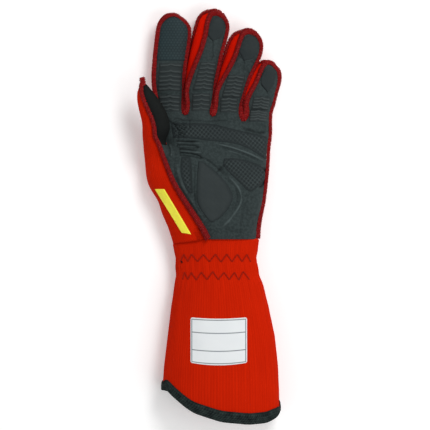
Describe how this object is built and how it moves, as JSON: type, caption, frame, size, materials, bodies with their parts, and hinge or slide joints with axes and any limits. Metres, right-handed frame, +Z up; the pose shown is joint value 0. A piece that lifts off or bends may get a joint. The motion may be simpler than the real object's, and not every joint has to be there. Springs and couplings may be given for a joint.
{
  "type": "racing glove",
  "caption": "Left-hand long-gauntlet racing glove lying palm up: hollow knit and suede hand with outside seams, printed grip pads and a bound flared cuff.",
  "frame": {"origin": "the middle of the rectangle the glove covers, on the surface it lies on", "axes": "+X towards the little finger, +Y towards the fingertips, +Z up out of the palm"},
  "size_m": [0.12, 0.3452, 0.0389],
  "materials": {
    "palm_suede": "napped suede",
    "red_knit": "fine ribbed knit",
    "seam_thread": "dense overlock thread",
    "binding_tape": "matt woven tape",
    "pad_print": "matt printed silicone",
    "white_label": "smooth printed satin",
    "yellow_label": "smooth satin"
  },
  "bodies": {
    "root": {"palm_panel": "palm_suede", "thumb_panel": "palm_suede", "back_panel": "red_knit", "fourchette_index_middle": "red_knit", "fourchette_middle_ring": "red_knit", "fourchette_ring_little": "red_knit", "seam_palm": "seam_thread", "seam_thumb": "seam_thread", "seam_back_index_middle": "seam_thread", "seam_back_middle_ring": "seam_thread", "seam_back_ring_little": "seam_thread", "cuff": "red_knit", "cuff_binding": "binding_tape", "palm_pad_upper": "pad_print", "palm_pad_heel": "pad_print", "palm_pad_centre": "pad_print", "palm_pad_thenar": "pad_print", "ribs_index_upper": "pad_print", "ribs_index_lower": "pad_print", "ribs_middle_upper": "pad_print", "ribs_middle_lower": "pad_print", "ribs_ring_upper": "pad_print", "ribs_ring_lower": "pad_print", "ribs_little_upper": "pad_print", "ribs_little_lower": "pad_print", "cuff_label": "white_label", "thumb_label": "yellow_label"}
  },
  "joints": []
}
